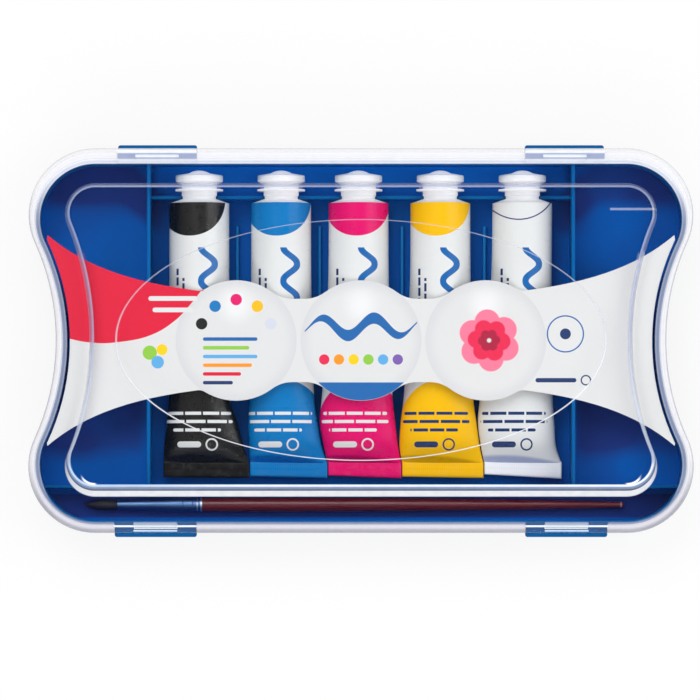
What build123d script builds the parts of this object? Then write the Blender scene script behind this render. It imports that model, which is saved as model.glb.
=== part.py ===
from build123d import *

import os
from math import asin, degrees, sqrt

# Gouache paint set box: a moulded tray that holds five paint tubes and a brush under a
# clear lid. Millimetres. +X runs along the box, +Y points to the hinge side and +Z up.
# The origin is on the table, under the middle of the box.

# Lid: an hourglass outline with a skirt, a ledge and a raised plateau
lid_length = 244.0
lid_depth = 141.2
lid_draw_in = 10.0
lid_corner_radius = 24.5
lid_wall = 1.4
skirt_height = 5.9
rim_rounding = 1.3
plateau_end_margin = 13.1
plateau_rear_margin = 12.6
plateau_front_margin = 12.2
plateau_draw_in = 9.0
plateau_corner_radius = 11.5
plateau_end_slope = 1.4
plateau_rear_slope = 1.3
plateau_front_slope = 4.4
plateau_rounding = 0.8
oval_end_margin = 32.1
oval_side_margin = 26.4
oval_rise = 0.35
oval_bevel = 0.3

# Tray: the gaps are measured from the inside of the lid's skirt
tray_end_gap = 1.2
tray_rear_gap = 2.8
tray_front_gap = 1.8
tray_draw_in = 10.0
tray_corner_radius = 21.9
tray_wall = 1.4
tray_floor = 1.4
tray_bottom_rounding = 1.5
divider_thickness = 1.3
divider_edge_rounding = 0.4
trough_width = 11.85
trough_divider_drop = 10.5
neck_rib_offset = 2.3
neck_rib_thickness = 1.2
neck_rib_drop = 0.1
tube_rib_thickness = 1.0
tube_rib_height = 4.5
tube_rib_offset = 8.0
tube_rib_length = 52.8

# Lugs on the tray, two at the hinge side and two at the front
lug_inner_x = 60.3
rear_lug_width = 29.1
front_lug_width = 30.2
lug_window_width = 16.0
lug_bar_radius = 1.5
lug_skirt_gap = 0.3
lug_end_rounding = 0.9

# Hooks and tongues on the lid
hinge_clearance = 0.1
hook_side_clearance = 0.3
hook_thickness = 1.2
hook_end_angle = 300.0
tongue_thickness = 0.7
tongue_reach = 3.4
tongue_bead = 0.5
tongue_clearance = 0.3
pad_depth = 4.2
pad_height = 0.5
pad_recess_depth = 2.2

# Paint tubes
tube_colours = ["black", "cyan", "magenta", "yellow", "white"]
tube_radius = 11.0
tube_wall = 0.35
# where the tubes lie: they are loose in bays of an even pitch
tube_places = [-59.6, -29.4, -0.9, 29.25, 59.5]
tube_bay_pitch = 30.45
tube_tail_thickness = 1.3
tube_tail_sag = 0.45
end_bay_extra = 1.2
tube_rest_gap = 0.3
tube_tail_gap = 2.65
tube_lid_gap = 4.5
crimp_length = 5.0
paint_gap = 0.05
# places along a tube: share of the body length and share of the full thickness there
tube_profile = [(0.0, 1.0), (0.25, 0.95), (0.5, 0.83), (0.75, 0.66), (0.84, 0.56), (0.93, 0.36), (1.0, 0.0)]
# at those places, how far a tube lies to the side and how much wider than its radius it is:
# the tubes are squeezed a little and lie crooked
tube_shapes = [
    [(0.0, 0.0), (0.0, 0.05), (0.0, 0.1), (0.0, 0.3), (1.0, 2.0), (1.7, 3.7), (2.55, 4.85)],
    [(0.0, 0.0), (0.0, 0.05), (0.1, 0.3), (0.3, 0.9), (0.6, 1.75), (1.6, 2.3), (2.75, 3.25)],
    [(0.0, 0.0), (0.0, 0.1), (-0.2, 0.8), (-0.5, 2.1), (-0.35, 2.9), (0.9, 2.7), (2.3, 2.5)],
    [(0.0, 0.0), (0.0, 0.1), (-0.3, 0.7), (-0.7, 1.9), (-0.65, 3.0), (-0.25, 3.8), (0.95, 4.0)],
    [(0.0, 0.0), (-0.3, 0.1), (-1.0, 0.9), (-2.25, 2.45), (-2.3, 3.1), (-1.45, 2.9), (0.3, 3.25)],
]

# Nozzle: shoulder, neck and spout, moulded in one
shoulder_edge_inset = 0.1
shoulder_length = 1.5
shoulder_top_radius = 6.7
neck_radius = 6.1
neck_length = 1.2
spout_radius = 4.2
spout_length = 4.0
spout_bore_radius = 2.5

# Cap
cap_start_gap = 0.1
cap_bore_clearance = 0.1
cap_bore_end_gap = 0.4
cap_stem_radius = 6.45
cap_collar_length = 1.8
cap_flange_radius = 8.8
cap_flange_thickness = 0.6
cap_stem_length = 2.2
cap_head_radius = 8.7
cap_head_chamfer = 0.6
cap_head_height = 2.3
cap_head_crown = 0.8
cap_head_rounding = 0.45
cap_dome_radius = 3.9
cap_dome_height = 1.1
cap_notch_gap = 0.3
cap_wall_gap = 2.0

# Brush, lying along the front trough
brush_tip_gap = 9.6
brush_tail_gap = 14.7
brush_rest_gap = 0.2
bristle_length = 12.4
bristle_radius = 1.9
ferrule_length = 31.3
ferrule_radius = 2.5
ferrule_mouth_radius = 1.7
ferrule_wall = 0.3
ferrule_groove_depth = 0.2
ferrule_groove_pitch = 1.8
handle_radius = 2.6
handle_tail_radius = 1.1
handle_swell_offset = 31.0
handle_tenon_length = 9.0
brush_fit_gap = 0.05

# Label: a card under the lid, cut as three discs between two flared wings
label_thickness = 0.3
label_drop = 0.7
label_lid_gap = 0.2
label_disc_radius = 22.1
label_disc_pitch = 45.8
label_valley_y = 15.3
label_valley_rounding = 12.0
label_wing_rounding = 4.0
label_rim_margin = 2.6
label_wing_start = (57.0, 17.9)
label_wing_middle = (44.0, 21.4)
label_wing_flare = (23.5, 28.2)
label_wing_tip = (7.0, 38.7)

# The tray's outside and the inner faces of its long walls
tray_half_length = lid_length / 2 - lid_wall - tray_end_gap
tray_rear_y = lid_depth / 2 - lid_wall - tray_rear_gap
tray_front_y = lid_wall + tray_front_gap - lid_depth / 2
tray_half_depth = (tray_rear_y - tray_front_y) / 2
tray_middle_y = (tray_rear_y + tray_front_y) / 2
rear_wall_y = tray_rear_y - tray_wall
front_wall_y = tray_front_y + tray_wall

# Where the tubes lie, measured from the tray's rear wall
neck_end = shoulder_length + neck_length
cap_start = neck_end + cap_start_gap
flange_start = cap_start + cap_collar_length
flange_end = flange_start + cap_flange_thickness
stem_end = flange_end + cap_stem_length
head_start = stem_end + cap_head_chamfer
head_end = head_start + cap_head_height
dome_start = head_end + cap_head_crown
dome_end = dome_start + cap_dome_height
dome_curve = (cap_dome_radius**2 + cap_dome_height**2) / (2 * cap_dome_height)
tube_shoulder_y = rear_wall_y - cap_wall_gap - dome_end
tube_axis_z = tray_floor + tube_rest_gap + tube_radius
rib_places = [tube_bay_pitch * (n - len(tube_colours) / 2) for n in range(1, len(tube_colours))]
trough_divider_y = front_wall_y + trough_width + divider_thickness / 2
crimp_end_y = trough_divider_y + divider_thickness / 2 + tube_tail_gap
tube_body_length = tube_shoulder_y - crimp_end_y - crimp_length
side_divider_x = tube_bay_pitch * len(tube_colours) / 2 + end_bay_extra + divider_thickness / 2

# Heights: the label lies on the side dividers, just over the tubes and under the lid's ledge
label_z = tube_axis_z + tube_radius - label_drop
tray_height = label_z + label_thickness + label_lid_gap
ledge_top_z = tray_height + lid_wall
skirt_z = ledge_top_z - skirt_height
plateau_top_z = tube_axis_z + tube_radius + tube_lid_gap + lid_wall
lug_bar_z = skirt_z - lug_skirt_gap - lug_bar_radius
neck_rib_y = tube_shoulder_y + neck_rib_offset
neck_rib_height = tube_axis_z - neck_rib_drop
neck_notch_radius = cap_stem_radius + cap_notch_gap

# Lugs, with the bars right under the lid's rim
lug_bar_y = lid_depth / 2
rear_lug_x = lug_inner_x + rear_lug_width / 2
front_lug_x = lug_inner_x + front_lug_width / 2
lug_rows = [(-1, tray_front_y, front_lug_x, front_lug_width), (1, tray_rear_y, rear_lug_x, rear_lug_width)]
hook_width = lug_window_width - 2 * hook_side_clearance
hook_inner = lug_bar_radius + hinge_clearance
hook_outer = hook_inner + hook_thickness

# Brush: it fills the trough's length less a gap at each end
brush_y = front_wall_y + trough_width / 2
brush_axis_z = tray_floor + brush_rest_gap + max(handle_radius, ferrule_radius)
ferrule_end = bristle_length + ferrule_length
bristle_root = bristle_length + ferrule_length / 2
bristle_root_radius = ferrule_mouth_radius - ferrule_wall - brush_fit_gap
tenon_start = ferrule_end - handle_tenon_length
tenon_radius = ferrule_radius - ferrule_wall - ferrule_groove_depth - brush_fit_gap


def waisted_outline(plane, half_length, half_depth, corner_radius, draw_in, middle_y=0.0):
    """A rectangle with round corners whose two ends are drawn in to a waist by tangent arcs."""
    corner = Vector(half_length - corner_radius, half_depth - corner_radius)
    half_waist = half_length - draw_in
    reach = (draw_in**2 + corner.Y**2) / (2 * draw_in)
    turn = degrees(asin(corner.Y / reach))
    join = corner + Vector(corner_radius, 0).rotate(Axis.Z, -turn)
    corner_middle = corner + Vector(corner_radius, 0).rotate(Axis.Z, (90 - turn) / 2)
    waist_radius = reach - corner_radius
    waist_centre = Vector(half_waist + waist_radius, 0)
    waist_middle = waist_centre - Vector(waist_radius, 0).rotate(Axis.Z, -turn / 2)
    with BuildSketch(plane.shift_origin(plane.from_local_coords(Vector(0, middle_y, 0)))) as sketch:
        with BuildLine():
            Line((0, half_depth), (corner.X, half_depth))
            ThreePointArc((corner.X, half_depth), corner_middle, join)
            ThreePointArc(join, waist_middle, (half_waist, 0))
            mirror(about=Plane.XZ)
            mirror(about=Plane.YZ)
        make_face()
    return sketch.sketch


def box_outline(z, inset):
    """The lid's outline at height z, drawn in all round by inset."""
    half_length = lid_length / 2 - inset
    half_depth = lid_depth / 2 - inset
    corner_radius = lid_corner_radius - inset
    return waisted_outline(Plane.XY.offset(z), half_length, half_depth, corner_radius, lid_draw_in)


def tray_outline(z, inset):
    """The tray's outline at height z, drawn in all round by inset."""
    return waisted_outline(
        Plane.XY.offset(z),
        tray_half_length - inset,
        tray_half_depth - inset,
        tray_corner_radius - inset,
        tray_draw_in,
        tray_middle_y,
    )


def plateau_outline(z, end_inset, rear_inset, front_inset):
    """The plateau's outline at height z; the insets are measured from its foot."""
    rear_y = lid_depth / 2 - plateau_rear_margin - rear_inset
    front_y = plateau_front_margin + front_inset - lid_depth / 2
    half_length = lid_length / 2 - plateau_end_margin - end_inset
    half_depth = (rear_y - front_y) / 2
    middle_y = (rear_y + front_y) / 2
    corner_radius = plateau_corner_radius - end_inset
    plane = Plane.XY.offset(z)
    return waisted_outline(plane, half_length, half_depth, corner_radius, plateau_draw_in, middle_y)


def plateau_block(foot_z, top_z, inset):
    """The plateau as a solid with sloped sides, its skin moved inwards by inset."""
    foot = plateau_outline(foot_z, inset, inset, inset)
    top = plateau_outline(
        top_z, inset + plateau_end_slope, inset + plateau_rear_slope, inset + plateau_front_slope
    )
    with BuildPart() as block:
        loft([foot, top], ruled=True)
    return block.part


def inner_half_length(y):
    """Half the length of the tray's inside at y, where y is beside one of its front corners."""
    corner_y = tray_front_y + tray_corner_radius
    corner_radius = tray_corner_radius - tray_wall
    return tray_half_length - tray_corner_radius + sqrt(corner_radius**2 - (y - corner_y) ** 2)


def wall_section(plane, place, thickness, top_z):
    """The section of a thin upright wall from the tray's floor to top_z, with eased top corners."""
    with BuildSketch(plane) as section:
        with Locations((place, (tray_floor + top_z) / 2)):
            Rectangle(thickness, top_z - tray_floor)
        fillet(section.vertices().group_by(Axis.Y)[-1], divider_edge_rounding)
    return section.sketch


def lug_bar(x, y, width):
    """The round outer bar of a lug, centred on x, with eased ends."""
    with BuildPart() as bar:
        with BuildSketch(Plane.YZ.offset(x)):
            with Locations((y, lug_bar_z)):
                Circle(lug_bar_radius)
        extrude(amount=width / 2, both=True)
        fillet(bar.edges().filter_by(GeomType.CIRCLE), lug_end_rounding)
    return bar.part


def tube_plane(x):
    """The horizontal plane through a tube's axis, its local X along the tube towards the cap."""
    return Plane(origin=(x, tube_shoulder_y, tube_axis_z), x_dir=(0, 1, 0), z_dir=(0, 0, 1))


def tube_axis(x):
    return Axis((x, tube_shoulder_y, tube_axis_z), (0, 1, 0))


def tube_sections(x, shape, inset):
    """Cross-sections of a tube from its round shoulder to its flat tail, drawn in by inset."""
    sections = []
    for (along, thickness), (shift, widening) in zip(tube_profile, shape):
        half_width = tube_radius + widening
        half_height = tube_tail_thickness / 2 + thickness * (tube_radius - tube_tail_thickness / 2)
        drop = tube_tail_sag * (tube_radius - half_height)
        place = (x + shift, tube_shoulder_y - along * tube_body_length, tube_axis_z - drop)
        with BuildSketch(Plane(origin=place, x_dir=(1, 0, 0), z_dir=(0, -1, 0))) as section:
            Ellipse(half_width - inset, half_height - min(inset, half_height / 2))
        sections.append(section.sketch)
    return sections


os.makedirs("parts", exist_ok=True)

# Tray: floor, wall, dividers, ribs and lugs in one moulding
with BuildPart() as tray:
    extrude(tray_outline(0, 0), amount=tray_height)
    fillet(tray.faces().sort_by(Axis.Z)[0].edges(), tray_bottom_rounding)
    extrude(tray_outline(tray_floor, tray_wall), amount=tray_height, mode=Mode.SUBTRACT)
    fillet(tray.faces().sort_by(Axis.Z)[-1].edges(), divider_edge_rounding)
    trough_wall_length = 2 * inner_half_length(trough_divider_y) + tray_wall
    trough_wall = wall_section(
        Plane.YZ.offset(-trough_wall_length / 2),
        trough_divider_y,
        divider_thickness,
        tray_height - trough_divider_drop,
    )
    extrude(trough_wall, amount=trough_wall_length)
    for side in (-1, 1):
        side_wall = wall_section(
            Plane.XZ.offset(-trough_divider_y), side * side_divider_x, divider_thickness, label_z
        )
        extrude(side_wall, amount=trough_divider_y - rear_wall_y - tray_wall / 2)
    for rib_x in rib_places:
        rib_front_y = tube_shoulder_y - tube_rib_offset - tube_rib_length
        rib = wall_section(Plane.XZ.offset(-rib_front_y), rib_x, tube_rib_thickness, tube_rib_height)
        extrude(rib, amount=-tube_rib_length)
    with BuildSketch(Plane.XZ.offset(-neck_rib_y)):
        with Locations((0, (tray_floor + neck_rib_height) / 2)):
            Rectangle(2 * side_divider_x, neck_rib_height - tray_floor)
        with Locations(*[(x, tube_axis_z) for x in tube_places]):
            Circle(neck_notch_radius, mode=Mode.SUBTRACT)
    extrude(amount=neck_rib_thickness / 2, both=True)
    for side, wall_y, lug_x, lug_width in lug_rows:
        for lug_place in (-lug_x, lug_x):
            arm_depth = lug_bar_y - abs(wall_y) + tray_wall / 2
            arm_y = side * (lug_bar_y - arm_depth / 2)
            with BuildSketch(Plane.XY.offset(lug_bar_z - lug_bar_radius)):
                with Locations((lug_place, arm_y)):
                    Rectangle(lug_width, arm_depth)
                    Rectangle(lug_window_width, arm_depth, mode=Mode.SUBTRACT)
            extrude(amount=2 * lug_bar_radius)
            add(lug_bar(lug_place, side * lug_bar_y, lug_width))
tray.part.label = "tray"
export_step(tray.part, "parts/tray.step")

# Lid: skirt, ledge and plateau as one thin skin, with the hinge hooks and the front tongues
with BuildPart() as lid:
    extrude(box_outline(skirt_z, 0), amount=skirt_height)
    fillet(lid.faces().sort_by(Axis.Z)[-1].edges(), rim_rounding)
    add(plateau_block(tray_height, plateau_top_z, 0))
    fillet(lid.faces().sort_by(Axis.Z)[-1].edges(), plateau_rounding)
    with BuildSketch(Plane.XY.offset(plateau_top_z)):
        Ellipse(lid_length / 2 - oval_end_margin, lid_depth / 2 - oval_side_margin)
    extrude(amount=oval_rise)
    chamfer(lid.faces().sort_by(Axis.Z)[-1].edges(), oval_bevel)
    extrude(box_outline(skirt_z, lid_wall), amount=tray_height - skirt_z, mode=Mode.SUBTRACT)
    add(plateau_block(tray_height, plateau_top_z - lid_wall, lid_wall), mode=Mode.SUBTRACT)
    for side, _, lug_x, lug_width in lug_rows:
        pad_y = side * (lid_depth / 2 - rim_rounding - pad_depth / 2)
        for lug_place in (-lug_x, lug_x):
            with BuildSketch(Plane.XY.offset(ledge_top_z)):
                with Locations((lug_place, pad_y)):
                    Rectangle(lug_width, pad_depth)
                    Rectangle(lug_window_width, pad_recess_depth, mode=Mode.SUBTRACT)
            extrude(amount=pad_height)
    for hook_place in (-rear_lug_x, rear_lug_x):
        bar_centre = Vector(lug_bar_y, lug_bar_z)
        mouth_top = bar_centre + Vector(0, 2 * hook_outer)
        mouth_outer = bar_centre + Vector(3 * hook_outer, 0)
        mouth_end = bar_centre + Vector(2 * hook_outer, 0).rotate(Axis.Z, hook_end_angle)
        with BuildSketch(Plane.YZ.offset(hook_place - hook_width / 2)):
            with Locations((lug_bar_y, lug_bar_z)):
                Circle(hook_outer)
                Circle(hook_inner, mode=Mode.SUBTRACT)
            with BuildLine():
                Polyline(bar_centre, mouth_top, mouth_outer, mouth_end, close=True)
            make_face(mode=Mode.SUBTRACT)
        extrude(amount=hook_width)
    for tongue_place in (-front_lug_x, front_lug_x):
        tongue_outer_y = lug_bar_radius + tongue_clearance + tongue_bead - lug_bar_y
        tongue_end_z = lug_bar_z - tongue_reach
        with BuildSketch(Plane.YZ.offset(tongue_place - hook_width / 2)):
            with BuildLine():
                Polyline(
                    (tongue_outer_y, tray_height),
                    (tongue_outer_y, lug_bar_z),
                    (tongue_outer_y - tongue_bead, lug_bar_z - tongue_reach / 2),
                    (tongue_outer_y, tongue_end_z),
                    (tongue_outer_y + tongue_thickness, tongue_end_z),
                    (tongue_outer_y + tongue_thickness, tray_height),
                    close=True,
                )
            make_face()
        extrude(amount=hook_width)
lid.part.label = "lid"
export_step(lid.part, "parts/lid.step")

# Label: a thin card on the side dividers, its wings flared to the corners
with BuildPart() as label:
    wing_start = Vector(*label_wing_start)
    wing_middle = Vector(lid_length / 2 - label_wing_middle[0], label_wing_middle[1])
    wing_flare = Vector(lid_length / 2 - label_wing_flare[0], label_wing_flare[1])
    wing_tip = Vector(lid_length / 2 - label_wing_tip[0], label_wing_tip[1])
    with BuildSketch(Plane.XY.offset(label_z)) as card:
        with BuildLine():
            Spline(wing_start, wing_middle, wing_flare, wing_tip)
            Polyline(wing_tip, (lid_length / 2, 0), (label_wing_start[0], 0), wing_start)
        make_face()
        mirror(about=Plane.XZ)
        mirror(about=Plane.YZ)
        add(tray_outline(label_z, label_rim_margin), mode=Mode.INTERSECT)
        Rectangle(2 * label_wing_start[0], 2 * label_valley_y)
        with Locations(*[(n * label_disc_pitch, 0) for n in (-1, 0, 1)]):
            Circle(label_disc_radius)
        notches = [v for v in card.vertices() if abs(v.X) < wing_middle.X and abs(v.Y) < wing_middle.Y]
        fillet([v for v in notches if abs(v.X) < label_disc_pitch], label_valley_rounding)
        notches = [v for v in card.vertices() if label_disc_pitch < abs(v.X) < wing_middle.X]
        fillet([v for v in notches if abs(v.Y) < wing_middle.Y], label_wing_rounding)
    extrude(amount=label_thickness)
label.part.label = "label"
export_step(label.part, "parts/label.step")

for colour, tube_x, tube_shape in zip(tube_colours, tube_places, tube_shapes):
    # Tube: a thin skin, round at the shoulder and pressed flat into a folded crimp at the tail
    tail_drop = tube_tail_sag * (tube_radius - tube_tail_thickness / 2)
    tail_shift, tail_widening = tube_shape[-1]
    with BuildPart() as tube_body:
        loft(tube_sections(tube_x, tube_shape, 0))
        loft(tube_sections(tube_x, tube_shape, tube_wall), mode=Mode.SUBTRACT)
        crimp_place = (tube_x + tail_shift, crimp_end_y + crimp_length, tube_axis_z - tail_drop)
        with BuildSketch(Plane(origin=crimp_place, x_dir=(1, 0, 0), z_dir=(0, -1, 0))):
            Rectangle(2 * (tube_radius + tail_widening), tube_tail_thickness)
        extrude(amount=crimp_length)
    tube_body.part.label = f"tube_{colour}_body"
    export_step(tube_body.part, f"parts/tube_{colour}_body.step")

    # Paint: what fills the tube, up to the nozzle
    with BuildPart() as paint:
        loft(tube_sections(tube_x, tube_shape, tube_wall + paint_gap))
        with BuildSketch(Plane.XZ.offset(-tube_shoulder_y)):
            with Locations((tube_x, tube_axis_z)):
                Circle(tube_radius)
        extrude(amount=paint_gap, mode=Mode.SUBTRACT)
    paint.part.label = f"tube_{colour}_paint"
    export_step(paint.part, f"parts/tube_{colour}_paint.step")

    # Nozzle: the sloped shoulder, the neck and the spout that the cap goes over
    with BuildPart() as nozzle:
        with BuildSketch(tube_plane(tube_x)):
            with BuildLine():
                Polyline(
                    (0, spout_bore_radius),
                    (0, tube_radius - shoulder_edge_inset),
                    (shoulder_length, shoulder_top_radius),
                    (shoulder_length, neck_radius),
                    (neck_end, neck_radius),
                    (neck_end, spout_radius),
                    (neck_end + spout_length, spout_radius),
                    (neck_end + spout_length, spout_bore_radius),
                    close=True,
                )
            make_face()
        revolve(axis=tube_axis(tube_x))
    nozzle.part.label = f"tube_{colour}_nozzle"
    export_step(nozzle.part, f"parts/tube_{colour}_nozzle.step")

    # Cap: collar, thin flange, stem and a wide head with a low dome
    cap_bore_radius = spout_radius + cap_bore_clearance
    cap_bore_end = neck_end + spout_length + cap_bore_end_gap
    with BuildPart() as cap:
        with BuildSketch(tube_plane(tube_x)):
            with BuildLine():
                Polyline(
                    (cap_bore_end, 0),
                    (cap_bore_end, cap_bore_radius),
                    (cap_start, cap_bore_radius),
                    (cap_start, cap_stem_radius),
                    (flange_start, cap_stem_radius),
                    (flange_start, cap_flange_radius),
                    (flange_end, cap_flange_radius),
                    (flange_end, cap_stem_radius),
                    (stem_end, cap_stem_radius),
                    (head_start, cap_head_radius),
                    (head_end, cap_head_radius),
                    (dome_start, cap_dome_radius),
                )
                RadiusArc((dome_start, cap_dome_radius), (dome_end, 0), dome_curve)
                Line((dome_end, 0), (cap_bore_end, 0))
            make_face()
            head_corners = [(head_start, cap_head_radius), (head_end, cap_head_radius)]
            sharp = [v for v in vertices() if (v.X, v.Y) in head_corners]
            fillet(sharp, cap_head_rounding)
        revolve(axis=tube_axis(tube_x))
    cap.part.label = f"tube_{colour}_cap"
    export_step(cap.part, f"parts/tube_{colour}_cap.step")

# Brush: bristles held in a metal ferrule, which is crimped on the handle
brush_tip_x = brush_tip_gap - inner_half_length(brush_y)
brush_length = 2 * inner_half_length(brush_y) - brush_tip_gap - brush_tail_gap
brush_plane = Plane(origin=(brush_tip_x, brush_y, brush_axis_z), x_dir=(1, 0, 0), z_dir=(0, 0, 1))
brush_axis = Axis((brush_tip_x, brush_y, brush_axis_z), (1, 0, 0))
with BuildPart() as bristles:
    with BuildSketch(brush_plane):
        with BuildLine():
            Spline((0, 0), (bristle_length / 2, bristle_radius), (bristle_length, bristle_root_radius))
            Polyline(
                (bristle_length, bristle_root_radius),
                (bristle_root, bristle_root_radius),
                (bristle_root, 0),
                (0, 0),
            )
        make_face()
    revolve(axis=brush_axis)
bristles.part.label = "brush_bristles"
export_step(bristles.part, "parts/brush_bristles.step")

with BuildPart() as ferrule:
    with BuildSketch(brush_plane):
        with BuildLine():
            Polyline(
                (bristle_length, ferrule_mouth_radius - ferrule_wall),
                (bristle_length, ferrule_mouth_radius),
                (tenon_start, ferrule_radius),
                (ferrule_end, ferrule_radius),
                (ferrule_end, ferrule_radius - ferrule_wall - ferrule_groove_depth),
                (tenon_start, ferrule_radius - ferrule_wall - ferrule_groove_depth),
                close=True,
            )
        make_face()
        with Locations(*[(ferrule_end - n * ferrule_groove_pitch, ferrule_radius) for n in (1, 2, 4)]):
            Circle(ferrule_groove_depth, mode=Mode.SUBTRACT)
    revolve(axis=brush_axis)
ferrule.part.label = "brush_ferrule"
export_step(ferrule.part, "parts/brush_ferrule.step")

handle_swell_x = ferrule_end + handle_swell_offset
with BuildPart() as handle:
    with BuildSketch(brush_plane):
        with BuildLine():
            Line((tenon_start, 0), (tenon_start, tenon_radius))
            Line((tenon_start, tenon_radius), (ferrule_end, tenon_radius))
            Line((ferrule_end, tenon_radius), (ferrule_end, ferrule_radius))
            Spline(
                (ferrule_end, ferrule_radius),
                (handle_swell_x, handle_radius),
                (brush_length - handle_tail_radius, handle_tail_radius),
            )
            RadiusArc(
                (brush_length - handle_tail_radius, handle_tail_radius),
                (brush_length, 0),
                handle_tail_radius,
            )
            Line((brush_length, 0), (tenon_start, 0))
        make_face()
    revolve(axis=brush_axis)
handle.part.label = "brush_handle"
export_step(handle.part, "parts/brush_handle.step")
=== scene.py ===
from math import atan, cos, radians, sin, tau

import bpy
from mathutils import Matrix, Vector


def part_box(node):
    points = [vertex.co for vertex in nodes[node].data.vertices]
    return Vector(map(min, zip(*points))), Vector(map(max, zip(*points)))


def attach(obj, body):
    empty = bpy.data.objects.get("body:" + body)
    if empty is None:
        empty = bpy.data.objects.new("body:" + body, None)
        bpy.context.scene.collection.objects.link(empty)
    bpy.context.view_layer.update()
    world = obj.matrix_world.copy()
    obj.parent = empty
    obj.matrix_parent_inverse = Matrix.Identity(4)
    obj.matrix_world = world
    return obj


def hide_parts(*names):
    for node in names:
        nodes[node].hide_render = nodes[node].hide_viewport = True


# The looks of the gouache paint set box: printed tubes and label, clear lid, brush, light
# and camera. Places are in millimetres of the row frame and turned to metres by MM.
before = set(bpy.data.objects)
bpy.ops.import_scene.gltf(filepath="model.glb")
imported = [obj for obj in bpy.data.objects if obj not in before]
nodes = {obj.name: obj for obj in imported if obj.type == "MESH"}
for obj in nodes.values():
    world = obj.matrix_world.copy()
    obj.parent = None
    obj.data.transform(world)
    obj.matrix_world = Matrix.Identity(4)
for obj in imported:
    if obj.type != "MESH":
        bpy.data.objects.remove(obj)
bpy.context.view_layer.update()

MM = 0.001
TUBES = ["black", "cyan", "magenta", "yellow", "white"]


def srgb(red, green, blue):
    """A colour as seen on a screen, 0 to 255, in the linear values that shaders take."""
    linear = []
    for value in (red, green, blue):
        share = value / 255
        linear.append(share / 12.92 if share <= 0.04045 else ((share + 0.055) / 1.055) ** 2.4)
    return (*linear, 1.0)


def grey(level):
    """A grey given in linear values."""
    return (level, level, level, 1.0)


WHITE_PRINT = srgb(220, 222, 222)
NAVY_PRINT = srgb(26, 52, 104)
BLUE_PRINT = srgb(20, 98, 168)
SKY_PRINT = srgb(92, 168, 222)
RED_PRINT = srgb(220, 6, 54)
LEAF_PRINT = srgb(140, 198, 63)
ORANGE_PRINT = srgb(247, 148, 30)
SUN_PRINT = srgb(255, 205, 0)
ROSE_PRINT = srgb(228, 34, 78)
INKS = {
    "black": srgb(11, 11, 13),
    "cyan": srgb(0, 116, 184),
    "magenta": srgb(222, 4, 104),
    "yellow": srgb(242, 186, 0),
    "white": srgb(225, 228, 230),
}


def box_mm(node):
    """The lowest and highest corner of a CAD node, in millimetres."""
    return [Vector(corner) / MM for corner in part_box(node)]


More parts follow.
